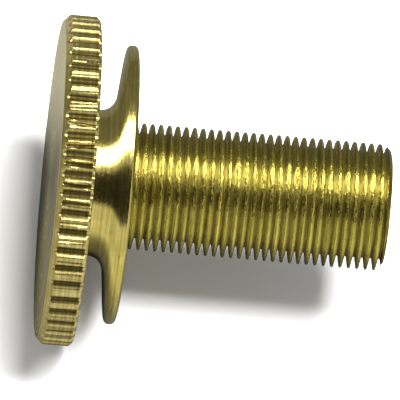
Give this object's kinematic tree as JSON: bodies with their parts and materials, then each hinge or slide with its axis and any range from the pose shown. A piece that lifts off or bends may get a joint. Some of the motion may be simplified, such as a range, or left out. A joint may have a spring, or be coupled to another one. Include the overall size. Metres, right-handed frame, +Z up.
{
  "type": "knurled thumb screw",
  "caption": "Brass thumb screw: straight-knurled disc head, narrow waist flaring into a thin flange, fine-threaded shank with a chamfered tip.",
  "frame": {"origin": "centre of the flange's rear face, the annular face that seats when the screw is driven home", "axes": "+X along the screw's axis from the head towards the tip of the shank, +Z up, +Y completes the right-handed set; the screw is round, so only X carries meaning"},
  "size_m": [0.0254, 0.0248, 0.0248],
  "materials": {
    "head_brass": "turned and knurled, lightly tarnished in the grooves",
    "collar_brass": "turned, semi-polished",
    "stud_brass": "machined thread, satin"
  },
  "bodies": {
    "root": {"knurled_head": "head_brass", "flared_collar": "collar_brass", "threaded_stud": "stud_brass"}
  },
  "joints": []
}
